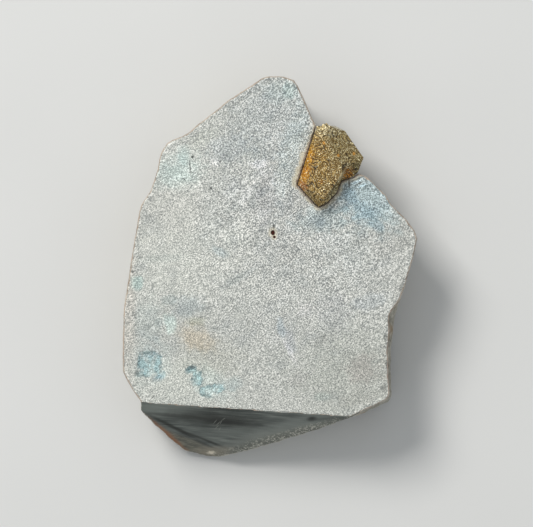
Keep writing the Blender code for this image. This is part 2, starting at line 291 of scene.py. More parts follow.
# %% Carve the stone
ragged = layers_at(stone_at, FLAKE_RAGGED)
flake = np.zeros(len(stone_at))
flake_depth = np.zeros(len(stone_at))
for x, y, wide, tall, deep in FLAKES:
    away = np.hypot((stone_at[:, 0] - x) / wide, (stone_at[:, 1] - y) / tall) + ragged
    inside = (1 - step(away, *FLAKE_RIM)) * on_face
    flake = np.maximum(flake, inside)
    flake_depth = np.maximum(flake_depth, deep * inside)
grain = layers_at(stone_at, GRAIN)
hollows = layers_at(stone_at, HOLLOWS, hollow=True)
streaks = layers_at(stone_at * STREAK_SQUEEZE, STREAKS) + layers_at(stone_at, JOINT_SWELL)
chips = step(layers_at(stone_at, CHIPS), *CHIP_NOISE) * step(stone_ridge, *CHIP_RIDGE)
near_rim = step(stone_at[:, 2], *NEAR_RIM)
depth = on_face * (FACE_SUNK - grain - layers_at(stone_at, SWELL))
depth += on_joint * (JOINT_SUNK - streaks - JOINT_GRAIN * grain)
depth += on_break * (hollows + BREAK_SUNK - grain) * (1 - RIM_CALM * near_rim)
depth += CHIP_DEPTH * chips * (1 - CHIP_CALM * near_rim) + flake_depth
stone_at = stone_at - stone_normal * (depth * step(stone_at[:, 2], *FOOT))[:, None]
box_low, box_high = (np.array(corner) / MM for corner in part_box("stone_matrix"))
stone_at = np.clip(stone_at, box_low, box_high)
move(stone, stone_at)
print("deepest carving, mm:", round(float(depth.max()), 2))

# %% Keep the stone's masks for its material
CHIP_SHADE = 0.4  # a chip is darkened like a crease this deep

keep_mask(stone, "on_face", spread(on_face, stone_edges, 1))
keep_mask(stone, "on_joint", spread(on_joint, stone_edges, 1))
keep_mask(stone, "past_crease", past_crease)
keep_mask(stone, "ridge", stone_ridge - (hollows - HOLLOW_MIDDLE) * on_break - CHIP_SHADE * chips)
keep_mask(stone, "to_crystal", to_crystal)
keep_mask(stone, "flake", flake)

# %% [markdown]
# ## The crystals' relief
#
# The crystal faces are flat from a step away, but close up they are covered in tiny scales and
# grains, because they grew against mud. The grains are coarsest on the face at the upper left. The
# long edges stay straight and are only a little worn.

# %% Carve the crystals
UPPER_FACE = Vector((-0.159, 0.595, 0.788))  # which way the coarse-grained face looks
ALONG_UPPER = (0.93, 0.98)  # the share of a normal that points that way
SMALL_SCALES = [(0.020, 0.34, 7.0), (0.020, 0.8, 17.0)]
COARSE_GRAINS = [(0.12, 0.62, 37.0)]
LUMPS = [(0.05, 2.2, 27.0)]
CRYSTAL_SUNK = 0.03
WORN_PLACES = [(1.0, 0.7, 47.0)]
WORN_NOISE = (-0.2, 0.6)
WORN_RIDGE = (0.015, 0.06)
WEAR_DEPTH = 0.10
LOOKS_UP = (0.10, 0.35)

crystal_at = points_of(crystal)
crystal_edges = edges_of(crystal)
crystal_normal = soft_normals(crystal, crystal_edges)
crystal_ridge = ridges_of(crystal_at, crystal_edges, crystal_normal)
stone_tree = surface_of(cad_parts["stone_matrix"])
to_stone = np.array([stone_tree.find_nearest(Vector(p))[3] for p in crystal_at])
scales = layers_at(crystal_at, SMALL_SCALES, hollow=True)
coarse = step(crystal_normal @ np.array(UPPER_FACE), *ALONG_UPPER)
coarse_grains = layers_at(crystal_at, COARSE_GRAINS, hollow=True) * coarse
worn = step(crystal_ridge, *WORN_RIDGE) * step(layers_at(crystal_at, WORN_PLACES), *WORN_NOISE)
relief = CRYSTAL_SUNK + scales + coarse_grains + WEAR_DEPTH * worn - layers_at(crystal_at, LUMPS)
crystal_depth = np.maximum(relief, 0.0)
crystal_at = crystal_at - crystal_normal * crystal_depth[:, None]
move(crystal, crystal_at)
keep_mask(crystal, "ridge", crystal_ridge)
keep_mask(crystal, "to_stone", to_stone)
keep_mask(crystal, "looks_up", step(crystal_normal[:, 2], *LOOKS_UP))
print("deepest carving, mm:", round(float(crystal_depth.max()), 2))

# %% [markdown]
# ## Shared shader groups
#
# Both materials need the same three effects: grain, thin curving lines, and stains with ragged
# borders in a place of their own. Each is a node group with named inputs, so a material only sets
# its values. A small helper makes a node and joins its inputs in one call.

# %% A helper that adds a node
def add(tree, kind, inputs=None, **settings):
    """A node of this kind. Inputs are given by name or number, as a value or a socket to join."""
    made = tree.nodes.new(kind)
    for name, value in settings.items():
        setattr(made, name, value)
    for name, value in (inputs or {}).items():
        if isinstance(value, bpy.types.NodeSocket):
            tree.links.new(value, made.inputs[name])
        else:
            made.inputs[name].default_value = value
    return made


def maths(tree, operation, first, second=0.0, third=0.0):
    """The result of a Math node."""
    return add(tree, "ShaderNodeMath", {0: first, 1: second, 2: third}, operation=operation).outputs[0]


def mapped(tree, value, low, high, to_low=0.0, to_high=1.0):
    """The value, smoothly mapped from one range to another and kept inside it."""
    inputs = {"Value": value, "From Min": low, "From Max": high, "To Min": to_low, "To Max": to_high}
    return add(tree, "ShaderNodeMapRange", inputs, interpolation_type="SMOOTHSTEP").outputs["Result"]


def blended(tree, share, first, second, blend_type="MIX"):
    """One colour mixed into another."""
    inputs = {0: share, 6: first, 7: second}
    return add(tree, "ShaderNodeMix", inputs, data_type="RGBA", blend_type=blend_type).outputs[2]


def place_in(tree):
    """A socket with the place of the shaded point on the object."""
    return add(tree, "ShaderNodeTexCoord").outputs["Object"]


def turned_place(tree, turn):
    """The same place, turned about Z so that what lies this many degrees from +X lies along it."""
    back = maths(tree, "MULTIPLY", maths(tree, "RADIANS", turn), -1.0)
    inputs = {"Vector": place_in(tree), "Angle": back}
    return add(tree, "ShaderNodeVectorRotate", inputs, rotation_type="Z_AXIS").outputs[0]


def new_group(name, inputs, outputs):
    """An empty shader group. Each input is a name with its starting value, and all sockets are floats."""
    group = bpy.data.node_groups.new(name, "ShaderNodeTree")
    for title, value in inputs.items():
        socket = group.interface.new_socket(title, in_out="INPUT", socket_type="NodeSocketFloat")
        socket.default_value = value
    for title in outputs:
        group.interface.new_socket(title, in_out="OUTPUT", socket_type="NodeSocketFloat")
    return group, group.nodes.new("NodeGroupInput").outputs, group.nodes.new("NodeGroupOutput").inputs


# %% [markdown]
# Grain adds three sizes of noise: the grains, finer ones inside them, and clumps about twice their
# size. Clumping is the share of the clumps, and Contrast spreads the sum about its middle. Stretch
# draws the grains out along a line, which Turn sets in degrees from +X.

# %% The grain group
GRAIN_INPUTS = {"Size": 0.5, "Contrast": 1.0, "Clumping": 0.3, "Stretch": 1.0, "Turn": 0.0, "Seed": 0.0}
tree, given, result = new_group("Grain", GRAIN_INPUTS, ["Value", "Height"])
parts = add(tree, "ShaderNodeSeparateXYZ", {0: turned_place(tree, given["Turn"])}).outputs
drawn_out = maths(tree, "DIVIDE", parts[0], given["Stretch"])
place = add(tree, "ShaderNodeCombineXYZ", {0: drawn_out, 1: parts[1], 2: parts[2]}).outputs[0]
per_metre = maths(tree, "DIVIDE", 1 / MM, given["Size"])
height = 0.0
for times_finer, share in ((1.0, 0.55), (2.1, 0.30), (0.45, given["Clumping"])):
    scale = maths(tree, "MULTIPLY", per_metre, times_finer)
    inputs = {"Vector": place, "W": given["Seed"], "Scale": scale, "Detail": 0.0}
    layer = add(tree, "ShaderNodeTexNoise", inputs, noise_dimensions="4D").outputs[0]
    height = maths(tree, "MULTIPLY_ADD", maths(tree, "SUBTRACT", layer, 0.5), share, height)
tree.links.new(height, result["Height"])
spread_out = maths(tree, "MULTIPLY_ADD", height, given["Contrast"], 0.5)
tree.links.new(add(tree, "ShaderNodeClamp", {0: spread_out}).outputs[0], result["Value"])

# %% [markdown]
# Both minerals are covered in fine curving lines, the borders of tiny overlapping scales. They are
# made like the height lines of a map: the height is smooth noise, Rings is how many lines fit into
# its whole range, and Width is the share of the distance between lines that a line takes up. Rows
# tilts the whole map by so many lines a millimetre, uphill along Turn, which keeps lines closer.

# %% The scales group
SCALES_INPUTS = {"Size": 0.9, "Rings": 4.0, "Rows": 0.0, "Turn": 0.0, "Width": 0.5, "Seed": 0.0}
tree, given, result = new_group("Scales", SCALES_INPUTS, ["Line"])
per_metre = maths(tree, "DIVIDE", 1 / MM, given["Size"])
inputs = {"Vector": place_in(tree), "W": given["Seed"], "Scale": per_metre, "Detail": 0.0}
land = add(tree, "ShaderNodeTexNoise", inputs, noise_dimensions="4D").outputs[0]
parts = add(tree, "ShaderNodeSeparateXYZ", {0: turned_place(tree, given["Turn"])}).outputs
slope = maths(tree, "MULTIPLY", maths(tree, "DIVIDE", parts[0], MM), given["Rows"])
phase = maths(tree, "MULTIPLY_ADD", land, given["Rings"], slope)
off_line = maths(tree, "PINGPONG", phase, 0.5)
half_line = maths(tree, "MULTIPLY", given["Width"], 0.5)
tree.links.new(mapped(tree, off_line, 0.0, half_line, 1.0, 0.0), result["Line"])

# %% [markdown]
# A stain is an ellipse that noise has pulled out of shape. The noise comes in through Pull, so that
# all the stains of a material share it.

# %% The stain group
STAIN_INPUTS = {
    "Pull": 0.0, "X": 0.0, "Y": 0.0, "Half Width": 1.0, "Half Height": 1.0, "Turn": 0.0, "Raggedness": 0.5,
    "Softness": 0.5,
}
tree, given, result = new_group("Stain", STAIN_INPUTS, ["Mask"])
parts = add(tree, "ShaderNodeSeparateXYZ", {0: place_in(tree)}).outputs
east = maths(tree, "SUBTRACT", maths(tree, "DIVIDE", parts[0], MM), given["X"])
north = maths(tree, "SUBTRACT", maths(tree, "DIVIDE", parts[1], MM), given["Y"])
cosine = maths(tree, "COSINE", given["Turn"])
sine = maths(tree, "SINE", given["Turn"])
along = maths(tree, "MULTIPLY_ADD", east, cosine, maths(tree, "MULTIPLY", north, sine))
across = maths(tree, "SUBTRACT", maths(tree, "MULTIPLY", north, cosine),
               maths(tree, "MULTIPLY", east, sine))
along = maths(tree, "DIVIDE", along, given["Half Width"])
across = maths(tree, "DIVIDE", across, given["Half Height"])
squares = maths(tree, "MULTIPLY_ADD", along, along, maths(tree, "MULTIPLY", across, across))
pull = maths(tree, "MULTIPLY", given["Raggedness"], 2.0)
away = maths(tree, "MULTIPLY_ADD", given["Pull"], pull, maths(tree, "SQRT", squares))
inner = maths(tree, "SUBTRACT", 1.0, given["Softness"])
outer = maths(tree, "ADD", 1.0, given["Softness"])
tree.links.new(mapped(tree, away, inner, outer, 1.0, 0.0), result["Mask"])

# %% [markdown]
# Each helper below puts a group, a mask or a colour into a material in one call.

# %% Helpers that use the groups
PULL_DETAIL = 3.0


def grain_node(tree, size, contrast, seed, clumping=0.3, stretch=1.0, turn=0.0):
    """The outputs of a grain group. Size is in millimetres, and each value can also be a socket."""
    inputs = {
        "Size": size, "Contrast": contrast, "Seed": seed, "Clumping": clumping, "Stretch": stretch,
        "Turn": turn,
    }
    return add(tree, "ShaderNodeGroup", inputs, node_tree=bpy.data.node_groups["Grain"]).outputs


def pull_of(tree, size):
    """The noise that pulls stains out of shape, with lumps of this many millimetres."""
    inputs = {"Vector": place_in(tree), "Scale": 1 / (size * MM), "Detail": PULL_DETAIL}
    return maths(tree, "SUBTRACT", add(tree, "ShaderNodeTexNoise", inputs).outputs[0], 0.5)


def stain_node(tree, pull, x, y, half_width, half_height, turn=0.0, ragged=0.5, soft=0.5):
    """A stain's mask. Lengths are in millimetres, and turn is in degrees, anticlockwise."""
    inputs = {
        "Pull": pull, "X": x, "Y": y, "Half Width": half_width, "Half Height": half_height,
        "Turn": math.radians(turn), "Raggedness": ragged, "Softness": soft,
    }
    return add(tree, "ShaderNodeGroup", inputs, node_tree=bpy.data.node_groups["Stain"]).outputs["Mask"]


def lines_node(tree, size, rings, rows, turn, width, seed):
    """The lines of a scales group. Size is in millimetres."""
    inputs = {"Size": size, "Rings": rings, "Rows": rows, "Turn": turn, "Width": width, "Seed": seed}
    return add(tree, "ShaderNodeGroup", inputs, node_tree=bpy.data.node_groups["Scales"]).outputs["Line"]


def mask_of(tree, name):
    """One of the masks that the mesh carries."""
    return add(tree, "ShaderNodeAttribute", attribute_name=name).outputs["Fac"]


def shade(red, green, blue):
    """A colour given as it looks on screen, from 0 to 255, as the shader needs it."""
    def straight(value):
        share = value / 255
        return share / 12.92 if share <= 0.04045 else ((share + 0.055) / 1.055) ** 2.4

    return (straight(red), straight(green), straight(blue), 1.0)


def tinted(tree, share, colour, target, usual):
    """The colour, shifted so that what looked like the usual colour looks like the target one.

    The shift multiplies, so it keeps the light and dark grains that are already there.
    """
    ratio = [wanted / had for wanted, had in zip(shade(*target), shade(*usual))]
    return blended(tree, share, colour, ratio, "MULTIPLY")


def painted(tree, mask, strength, colour, paint):
    """The colour, with an even paint over it where the mask is. The paint hides the grains."""
    return blended(tree, maths(tree, "MULTIPLY", mask, strength), colour, shade(*paint))


def ramp_of(tree, value, stops):
    """A colour ramp through (place, colour) stops."""
    made = add(tree, "ShaderNodeValToRGB", {"Fac": value})
    elements = made.color_ramp.elements
    elements[0].position, elements[0].color = stops[0]
    elements[1].position, elements[1].color = stops[-1]
    for position, colour in stops[1:-1]:
        elements.new(position).color = colour
    return made.outputs["Color"]


def new_material(name):
    """A material, its node tree and its Principled BSDF."""
    made = bpy.data.materials.new(name)
    made.use_nodes = True
    return made, made.node_tree, made.node_tree.nodes["Principled BSDF"]


# %% [markdown]
# ## The marl
#
# Marl is a mix of clay and lime. Fresh, it is grey-green, and on its face it has bleached to a pale
# grey speckle, harshest near the crystals. Water has left blue-green patches and iron has left
# an orange one. The stains are a table of places in millimetres, and a loop lays them over the grain.
# A few rows of the table paint shade along a flake's rims and highlights along small ledges.
# The tints start from the marl's usual colour. They take hold where a coarser grain is low or high.

# %% The marl's grain
MARL = (198, 199, 193)
LOW_HALF = (0.1, 0.5, 0.7, 0.0)  # a grain's values from and to, and the tint's share there
HIGH_HALF = (0.5, 0.9, 0.0, 0.7)
FACE_CONTRAST = 2.6
MORE_CONTRAST = 2.9  # added near the crystals

marl, tree, marl_shader = new_material("marl")
harsh = stain_node(tree, 0.0, 7.0, 15.0, 15.6, 24.0, ragged=0.0, soft=1.0)
contrast = maths(tree, "MULTIPLY_ADD", harsh, MORE_CONTRAST, FACE_CONTRAST)
fine = grain_node(tree, size=0.25, contrast=contrast, seed=0.0, clumping=0.12, stretch=1.3, turn=42.0)
face_colour = ramp_of(tree, fine["Value"], [
    (0.0, shade(142, 145, 143)), (0.3, shade(174, 176, 171)), (0.5, shade(196, 198, 191)),
    (0.7, shade(224, 225, 218)), (1.0, shade(255, 254, 248)),
])
scale_lines = lines_node(tree, size=2.4, rings=9.0, rows=0.9, turn=40.0, width=0.7, seed=4.0)
line_share = maths(tree, "MULTIPLY_ADD", harsh, 0.14, 0.10)
face_colour = painted(tree, scale_lines, line_share, face_colour, (118, 122, 122))
clumps = grain_node(tree, size=2.6, contrast=1.3, seed=3.0, stretch=1.5, turn=38.0)["Value"]
face_colour = tinted(tree, mapped(tree, clumps, *LOW_HALF), face_colour, (176, 179, 176), MARL)
face_colour = tinted(tree, mapped(tree, clumps, *HIGH_HALF), face_colour, (213, 213, 207), MARL)
mottles = grain_node(tree, size=1.7, contrast=2.2, seed=13.0, clumping=0.5, stretch=1.4, turn=40.0)["Value"]
dark_mottles = maths(tree, "MULTIPLY", harsh, mapped(tree, mottles, *LOW_HALF))
face_colour = tinted(tree, dark_mottles, face_colour, (178, 182, 179), MARL)
pale_mottles = maths(tree, "MULTIPLY", harsh, mapped(tree, mottles, *HIGH_HALF))
face_colour = tinted(tree, pale_mottles, face_colour, (216, 218, 213), MARL)

# %% The stains on the face
FACE_STAINS_SHADE_AND_HIGHLIGHTS = [
    # x, y, half width, half height, turn, raggedness, softness, colour, strength
    (-0.4, 31.3, 7.0, 8.0, 0, 0.7, 0.5, (182, 188, 188), 0.4),
    (4.6, 24.6, 2.4, 9.0, -14, 0.8, 0.6, (190, 203, 201), 0.45),
    (-8.8, 25.0, 4.4, 2.9, 10, 0.8, 0.5, (174, 182, 184), 0.37),
    (3.8, 37.2, 1.2, 1.8, 0, 0.6, 0.5, (170, 189, 183), 0.37),
    (2.4, 36.8, 3.4, 2.4, 0, 0.7, 0.6, (174, 185, 181), 0.5),
    (-2.6, 23.6, 3.2, 1.5, 0, 0.8, 0.6, (174, 180, 177), 0.5),
    (-7.8, 16.6, 2.6, 2.8, 0, 0.8, 0.6, (180, 183, 181), 0.5),
    (-12.6, 9.2, 2.8, 5.0, 0, 0.8, 0.6, (182, 185, 181), 0.45),
    (-7.4, 6.4, 2.4, 2.4, 0, 0.8, 0.6, (214, 216, 209), 0.45),
    (17.6, 4.0, 3.0, 5.2, 0, 0.8, 0.6, (178, 182, 178), 0.48),
    (-2.4, -3.8, 2.6, 2.4, 0, 0.8, 0.6, (212, 213, 206), 0.4),
    (2.6, -13.6, 2.8, 2.6, 0, 0.8, 0.6, (182, 184, 182), 0.4),
    (-19.6, 21.2, 5.0, 4.5, 0, 0.7, 0.5, (214, 217, 210), 0.6),
    (-19.5, 19.8, 4.2, 2.6, 8, 0.7, 0.8, (188, 203, 198), 0.6),
    (-18.3, 23.5, 1.2, 2.0, -10, 0.6, 0.6, (184, 203, 200), 0.4),
    (-14.0, 27.0, 3.5, 1.4, 28, 0.7, 0.6, (206, 209, 197), 0.31),
    (-11.6, 22.0, 1.0, 0.9, 0, 0.6, 0.4, (232, 231, 226), 0.9),
    (-2.1, 21.6, 1.9, 0.9, 12, 0.9, 0.4, (230, 229, 226), 0.85),
    (-4.4, 16.0, 3.8, 0.8, 56, 0.6, 0.5, (218, 218, 213), 0.8),
    (-1.0, 15.1, 2.0, 5.8, -6, 0.9, 0.5, (172, 172, 172), 0.43),
    (3.4, 12.6, 1.6, 2.4, 0, 0.8, 0.5, (174, 177, 177), 0.34),
    (-7.4, 12.4, 2.2, 0.9, 15, 0.7, 0.5, (180, 185, 181), 0.34),
    (-2.7, 5.7, 1.7, 1.3, 0, 0.8, 0.5, (164, 166, 161), 0.43),
    (4.2, 3.6, 2.6, 2.0, 0, 0.9, 0.5, (174, 175, 170), 0.37),
    (-6.7, -2.3, 3.6, 0.8, 30, 0.6, 0.5, (166, 173, 171), 0.43),
    (-22.5, 1.9, 4.6, 0.8, 3, 0.6, 0.5, (180, 186, 181), 0.37),
    (-18.0, 2.0, 12.0, 8.0, 14, 0.7, 0.6, (213, 214, 206), 0.6),
    (17.0, -22.0, 11.0, 9.0, 10, 0.7, 0.6, (184, 186, 178), 0.7),
    (-21.0, 12.0, 6.5, 5.5, 20, 0.7, 0.5, (212, 210, 202), 0.31),
    (-27.9, -3.4, 1.3, 1.5, 0, 0.5, 0.4, (164, 195, 191), 0.5),
    (-10.7, 3.2, 1.9, 0.9, -30, 0.7, 0.5, (170, 187, 191), 0.37),
    (-21.2, -6.9, 1.6, 1.2, 0, 0.7, 0.4, (156, 166, 164), 0.53),
    (-12.0, -19.4, 6.5, 3.4, 0, 0.7, 0.6, (188, 188, 177), 0.45),
    (-17.2, -8.2, 3.2, 2.0, 8, 0.8, 0.5, (168, 176, 176), 0.62),
    (-19.0, -24.0, 10.0, 5.0, -8, 0.6, 0.6, (212, 215, 206), 0.5),
    (-21.0, -11.8, 1.2, 2.0, 8, 0.7, 0.4, (208, 221, 214), 0.85),
    (-23.5, -11.6, 0.9, 0.8, 0, 0.7, 0.4, (160, 168, 166), 0.43),
    (-15.5, -11.3, 2.0, 0.9, 10, 0.7, 0.5, (178, 179, 159), 0.46),
    (-15.3, -15.0, 3.6, 2.2, -25, 0.8, 0.7, (198, 182, 156), 0.52),
    (-25.5, -11.6, 3.0, 4.6, 0, 0.7, 0.5, (190, 201, 196), 0.31),
    (-25.2, -19.8, 4.2, 4.2, 0, 0.9, 0.5, (184, 198, 198), 0.25),
    # Painted shade: the next two rows darken the left and upper rims of the large flake, where its step is
    # in shade.
    (-27.6, -20.0, 0.35, 1.8, -6, 0.6, 0.5, (116, 142, 144), 0.6),
    (-26.0, -17.9, 1.4, 0.28, 5, 0.6, 0.5, (134, 154, 152), 0.55),
    (-27.2, -22.5, 1.0, 0.6, 10, 0.8, 0.5, (134, 152, 152), 0.6),
    (-23.5, -23.2, 1.1, 0.7, 20, 0.8, 0.5, (138, 160, 168), 0.5),
    (-16.6, -21.2, 1.1, 0.45, 22, 0.7, 0.5, (124, 144, 150), 0.5),
    (-17.3, -22.0, 0.5, 0.5, 0, 0.7, 0.5, (108, 128, 134), 0.55),
    (-13.2, -27.1, 1.3, 0.30, -8, 0.7, 0.5, (136, 156, 156), 0.55),
    (-14.9, -23.3, 0.5, 0.4, 0, 0.8, 0.4, (240, 240, 232), 0.9),
    (-12.6, -24.4, 4.6, 2.6, -35, 0.9, 0.5, (186, 203, 201), 0.28),
    (-7.8, -24.6, 2.0, 1.3, 10, 0.7, 0.5, (176, 192, 192), 0.37),
    (4.2, -17.8, 3.5, 0.5, -63, 0.5, 0.4, (218, 217, 214), 0.75),
    (2.3, -12.8, 0.8, 2.0, 10, 0.6, 0.5, (168, 185, 193), 0.4),
    (4.3, -16.0, 1.0, 2.4, 15, 0.8, 0.5, (178, 183, 189), 0.34),
    (7.4, -9.0, 1.8, 1.3, 0, 0.7, 0.5, (208, 207, 203), 0.65),
    (13.7, -9.5, 3.0, 4.2, 0, 0.9, 0.5, (174, 175, 176), 0.31),
    (20.6, -7.4, 3.8, 1.5, 15, 0.8, 0.5, (170, 179, 183), 0.37),
    (10.5, -15.3, 1.4, 1.0, 0, 0.8, 0.4, (160, 161, 157), 0.43),
    (19.3, -21.6, 3.2, 3.0, 0, 0.9, 0.5, (176, 169, 164), 0.48),
    (5.9, -23.3, 1.9, 1.5, 0, 0.8, 0.5, (172, 170, 166), 0.37),
    (10.9, -27.3, 1.9, 0.9, 5, 0.7, 0.4, (158, 171, 166), 0.4),
    (18.5, -27.9, 4.0, 1.8, 10, 0.8, 0.5, (172, 171, 165), 0.34),
    (20.2, 14.0, 7.4, 4.6, -40, 0.7, 0.6, (167, 191, 196), 0.62),
    (16.8, 14.5, 1.5, 1.7, 0, 0.8, 0.6, (148, 169, 178), 0.38),
    (20.3, 11.6, 2.3, 1.4, -30, 0.8, 0.6, (146, 168, 176), 0.38),
    (22.7, 8.8, 1.3, 1.0, 0, 0.8, 0.4, (144, 161, 167), 0.46),
    (10.9, 9.9, 5.2, 2.6, 5, 0.9, 0.5, (166, 182, 182), 0.5),
    (10.1, 9.7, 1.9, 1.1, 0, 0.8, 0.4, (150, 158, 161), 0.4),
    (13.2, 5.2, 3.0, 1.9, 5, 0.7, 0.5, (208, 210, 205), 0.75),
    (25.4, 6.4, 4.4, 3.4, -10, 0.7, 0.6, (176, 176, 170), 0.5),
    # Painted highlights: the next two rows are pale lines along the lit edges of small ledges beside the
    # crystals.
    (18.3, 17.9, 1.3, 0.20, 23, 0.4, 0.5, (232, 238, 236), 0.9),
    (19.2, 17.0, 1.0, 0.18, 26, 0.4, 0.5, (228, 236, 236), 0.8),
    (26.5, -16.0, 2.2, 12.0, -6, 0.7, 0.6, (186, 181, 173), 0.28),
    (-29.6, -8.0, 1.3, 18.0, 0, 0.6, 0.6, (214, 203, 191), 0.31),
]
rough = pull_of(tree, 1.6)
for *shape, colour, strength in FACE_STAINS_SHADE_AND_HIGHLIGHTS:
    mask = stain_node(tree, rough, *shape)
    face_colour = tinted(tree, maths(tree, "MULTIPLY", mask, strength), face_colour, colour, MARL)
print(len(FACE_STAINS_SHADE_AND_HIGHLIGHTS), "stains on the face")

# %% [markdown]
# The flakes are blue-green inside, and parts of the rim are painted darker as the shade of the step
# at the rim. The mask from the mesh is 0.5 on the rim itself.

# %% Colour the flakes
flake = mask_of(tree, "flake")
rim = mapped(tree, maths(tree, "ABSOLUTE", maths(tree, "SUBTRACT", flake, 0.5)), 0.1, 0.5, 1.0, 0.0)
patchy = grain_node(tree, size=1.0, contrast=2.2, seed=9.0)["Value"]
blue_share = maths(tree, "MULTIPLY", flake, mapped(tree, patchy, 0.2, 0.8, 0.40, 0.95))
face_colour = tinted(tree, blue_share, face_colour, (168, 190, 191), MARL)
# Painted shade: parts of each flake's rim are darkened, as the step there would be in shade.
rim_shade_share = mapped(tree, patchy, 0.35, 0.75, 0.0, 0.50)
face_colour = painted(tree, rim, rim_shade_share, face_colour, (84, 106, 112))

# %% [markdown]
# The finest marks on the face are drawn as very thin stains: a hairline crack with a foot, short
# strokes, and single dark grains.

# %% Cracks and dark grains
FINE_MARKS = [
    # x, y, half width, half height, turn, strength
    (-16.8, 21.2, 0.12, 1.3, 4, 0.8), (-16.3, 19.9, 0.7, 0.11, 0, 0.5), (-16.3, 23.1, 0.30, 0.24, 0, 0.95),
    (-12.4, 16.6, 0.2, 0.2, 0, 0.95), (-18.0, 18.4, 0.50, 0.14, -40, 0.7), (-24.9, 2.0, 3.8, 0.09, 3, 0.22),
    (-10.5, 22.2, 0.4, 0.13, 35, 0.7), (0.75, 8.5, 0.20, 0.55, 0, 0.85), (-28.8, -1.0, 0.35, 0.3, 0, 0.6),
    (-14.5, -10.5, 0.4, 0.2, 20, 0.45), (16.6, 17.6, 0.15, 0.9, 4, 0.95), (18.0, 18.4, 1.3, 0.15, 22, 0.8),
    (18.6, 17.5, 1.1, 0.14, 24, 0.75), (-4.0, -27.4, 0.22, 0.18, 0, 0.6), (-24.6, -27.3, 0.5, 0.12, 45, 0.6),
    (-1.0, -27.9, 0.18, 0.18, 0, 0.6), (0.6, -23.4, 0.25, 0.22, 0, 0.4), (11.4, -14.6, 0.3, 0.3, 0, 0.5),
    (27.6, -4.0, 0.35, 1.6, -16, 0.45), (26.4, -8.6, 0.4, 1.3, -16, 0.45), (25.0, -17.8, 0.3, 1.2, 0, 0.4),
    (-28.0, -22.2, 0.45, 0.4, 0, 0.5), (-16.6, -21.2, 0.8, 0.35, 20, 0.5),
    (-13.6, -27.0, 0.9, 0.18, -15, 0.4), (24.3, -14.8, 0.4, 0.8, 0, 0.45), (24.6, -20.6, 0.35, 1.0, 8, 0.45),
    (23.8, -25.4, 0.6, 0.7, -30, 0.4),
]
wavy = pull_of(tree, 0.5)
for *shape, strength in FINE_MARKS:
    mask = stain_node(tree, wavy, *shape, ragged=0.35, soft=0.4)
    face_colour = painted(tree, mask, strength, face_colour, (70, 74, 72))

# %% [markdown]
# Round the crystals the marl is cream-coloured in a narrow band, where iron has moved into it. The
# band follows the distance to the crystals, which the mesh carries as a mask, and it is widest along
# their left-hand side.

# %% The cream band
BAND_RAGGED = 1.8
BAND_WIDENED = 0.5  # by so many millimetres along the left-hand side
BAND_FADES = (0.4, 1.1)

near = mask_of(tree, "to_crystal")
band_grain = grain_node(tree, size=1.4, contrast=1.0, seed=5.0)["Height"]
near = maths(tree, "MULTIPLY_ADD", band_grain, BAND_RAGGED, near)
widest = stain_node(tree, rough, 5.4, 20.6, 2.2, 4.6, -16)
near = maths(tree, "MULTIPLY_ADD", widest, -BAND_WIDENED, near)
face_colour = painted(tree, mapped(tree, near, *BAND_FADES, 1.0, 0.0), 0.70, face_colour, (220, 211, 184))

# %% [markdown]
# ## The joint and the broken sides
#
# The slanting joint at the lower end is dark and smooth, with faint streaks along it and darker
# bands. Its darkness is partly the marl's own colour and partly painted shade, since it faces away
# from the light, and a painted shadow lies along it just below the face's rim. Its outer rim is rusty
# on the left and rough and pale on the right. The broken sides are paler and browner, with painted
# shade in their hollows and creases.

# %% The joint's colour
streak = grain_node(tree, size=0.5, contrast=1.5, seed=7.0, clumping=0.4, stretch=9.0, turn=-5.0)
# The ramp's darkness is partly the marl's own colour and partly painted shade, since the joint faces away
# from the light.
joint_colour = ramp_of(tree, streak["Value"], [
    (0.0, shade(66, 70, 66)), (0.4, shade(92, 97, 93)), (0.6, shade(108, 113, 108)),
    (1.0, shade(144, 148, 141)),
])
JOINT_STAINS_AND_SHADE = [
    # x, y, half width, half height, turn, colour, strength
    # The second row is a painted shadow along the joint just below the face's rim.
    (-22.5, -29.9, 6.5, 1.4, -3, (146, 152, 145), 0.65), (-9.0, -29.5, 5.8, 0.55, -4, (36, 37, 34), 0.85),
    (-11.0, -32.0, 9.5, 1.7, -6, (56, 58, 54), 0.75), (-10.0, -32.4, 3.6, 0.7, -5, (44, 45, 42), 0.75),
    (-20.0, -33.9, 5.6, 0.35, -27, (38, 38, 34), 0.75),
    (-13.5, -36.5, 5.6, 0.25, -22, (42, 42, 38), 0.7), (-7.5, -34.8, 6.0, 1.0, 3, (126, 131, 125), 0.6),
    (6.0, -33.0, 9.0, 1.4, 14, (140, 145, 139), 0.6), (-3.0, -36.0, 8.0, 0.9, 15, (138, 141, 134), 0.55),
    (-18.0, -31.4, 7.0, 0.35, -5, (60, 62, 58), 0.6), (-14.0, -37.3, 5.0, 0.20, -22, (52, 52, 46), 0.55),
    (8.8, -31.9, 0.9, 0.45, 5, (46, 48, 45), 0.9), (12.5, -31.9, 5.0, 0.30, 3, (84, 88, 83), 0.6),
]
for *shape, colour, strength in JOINT_STAINS_AND_SHADE:
    mask = stain_node(tree, rough, *shape, ragged=0.25, soft=0.7)
    joint_colour = painted(tree, mask, strength, joint_colour, colour)
corner_streak = grain_node(tree, size=0.35, contrast=2.6, seed=17.0, stretch=9.0, turn=-25.0)["Value"]
corner_colour = blended(tree, corner_streak, shade(74, 72, 62), shade(146, 142, 126))
corner = mapped(tree, mask_of(tree, "past_crease"), 0.3, 1.0)
joint_colour = blended(tree, maths(tree, "MULTIPLY", corner, 0.70), joint_colour, corner_colour)
SCRATCHES = [
    # x, y, half length, turn
    (-11.5, -32.5, 0.55, 50), (-10.9, -32.9, 0.60, 44), (-10.3, -32.6, 0.45, 62), (-11.2, -33.7, 0.60, 48),
    (-9.8, -32.0, 0.40, 35), (-10.6, -34.1, 0.40, 58),
]
